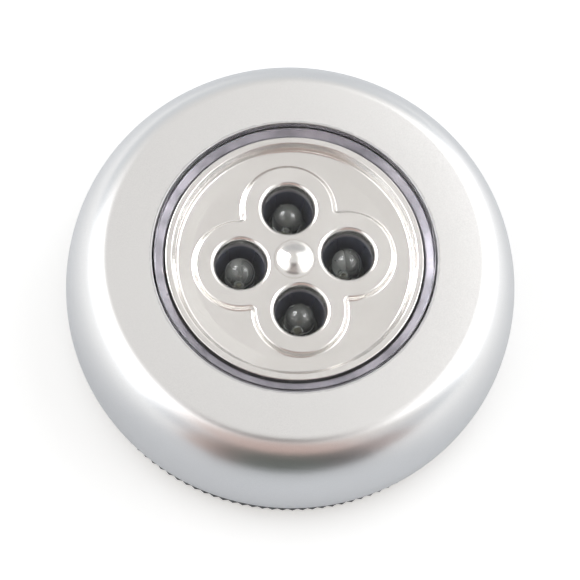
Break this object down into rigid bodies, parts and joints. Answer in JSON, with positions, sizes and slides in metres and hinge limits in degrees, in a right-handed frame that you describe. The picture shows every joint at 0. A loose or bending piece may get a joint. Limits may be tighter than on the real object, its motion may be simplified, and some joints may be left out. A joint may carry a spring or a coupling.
{
  "type": "puck light",
  "caption": "Round stick-on push light with a satin silver shell, clear push lens, quatrefoil reflector, recessed lamps and a twist-off battery cover.",
  "frame": {"origin": "middle of the foam pad's glued face, on the light's axis", "axes": "+Z out of the lens, away from the wall; +X and +Y each point through a lamp"},
  "size_m": [0.075, 0.075, 0.026],
  "materials": {
    "silver_paint": "satin silver paint with fine flake on moulded plastic",
    "clear_lens": "clear polished plastic",
    "metallised_plastic": "vacuum-metallised plastic, bright and slightly soft",
    "lamp_epoxy": "clear cast epoxy",
    "tinned_metal": "tinned sheet",
    "board_laminate": "laminate with a dark solder mask",
    "chip_ceramic": "glazed chip",
    "black_plastic": "moulded",
    "ivory_plastic": "moulded",
    "graphite_plastic": "moulded, lightly textured",
    "dark_plastic": "moulded, knurled rim",
    "spring_steel": "nickel-plated wire",
    "screw_steel": "zinc-plated",
    "cell_jacket": "plain metallic jacket with bare ends",
    "red_sleeve": "plastic insulation",
    "black_sleeve": "plastic insulation",
    "pad_foam": "closed-cell foam tape"
  },
  "bodies": {
    "base": {"foam_pad": "pad_foam", "back_cover": "dark_plastic"},
    "housing": {"housing": "silver_paint", "chassis": "graphite_plastic", "wire_red": "red_sleeve", "wire_black": "black_sleeve", "cell_1": "cell_jacket", "cell_2": "cell_jacket", "cell_3": "cell_jacket", "contact_spring_1": "spring_steel", "contact_spring_2": "spring_steel", "contact_spring_3": "spring_steel", "contact_bridge_1": "tinned_metal", "contact_bridge_2": "tinned_metal", "contact_positive": "tinned_metal", "contact_negative": "tinned_metal", "case_screw_1": "screw_steel", "case_screw_2": "screw_steel", "case_screw_3": "screw_steel"},
    "push_head": {"lens": "clear_lens", "reflector": "metallised_plastic", "led_board": "board_laminate", "resistor": "chip_ceramic", "switch_body": "black_plastic", "switch_spring": "spring_steel", "led_1": "lamp_epoxy", "led_2": "lamp_epoxy", "led_3": "lamp_epoxy", "led_4": "lamp_epoxy", "led_1_anode": "tinned_metal", "led_1_cathode": "tinned_metal", "led_2_anode": "tinned_metal", "led_2_cathode": "tinned_metal", "led_3_anode": "tinned_metal", "led_3_cathode": "tinned_metal", "led_4_anode": "tinned_metal", "led_4_cathode": "tinned_metal", "board_screw_1": "screw_steel", "board_screw_2": "screw_steel"},
    "plunger": {"switch_plunger": "ivory_plastic"}
  },
  "joints": [
    {"name": "lens_push", "type": "slide", "parent": "housing", "child": "push_head", "axis": [0, 0, -1], "range_m": [0, 0.0018], "stiffness_N_per_m": 800, "springref_m": -0.002, "deforming": ["wire_red", "wire_black"]},
    {"name": "plunger_travel", "type": "slide", "parent": "push_head", "child": "plunger", "axis": [0, 0, 1], "range_m": [0, 0.0018], "deforming": ["switch_spring"]},
    {"name": "housing_twist", "type": "hinge", "parent": "base", "child": "housing", "pos_m": [0, 0, 0], "axis": [0, 0, 1], "range_deg": [0, 24]}
  ],
  "couplings": [
    {"joint": "plunger_travel", "follows": "lens_push", "ratio": 1}
  ]
}
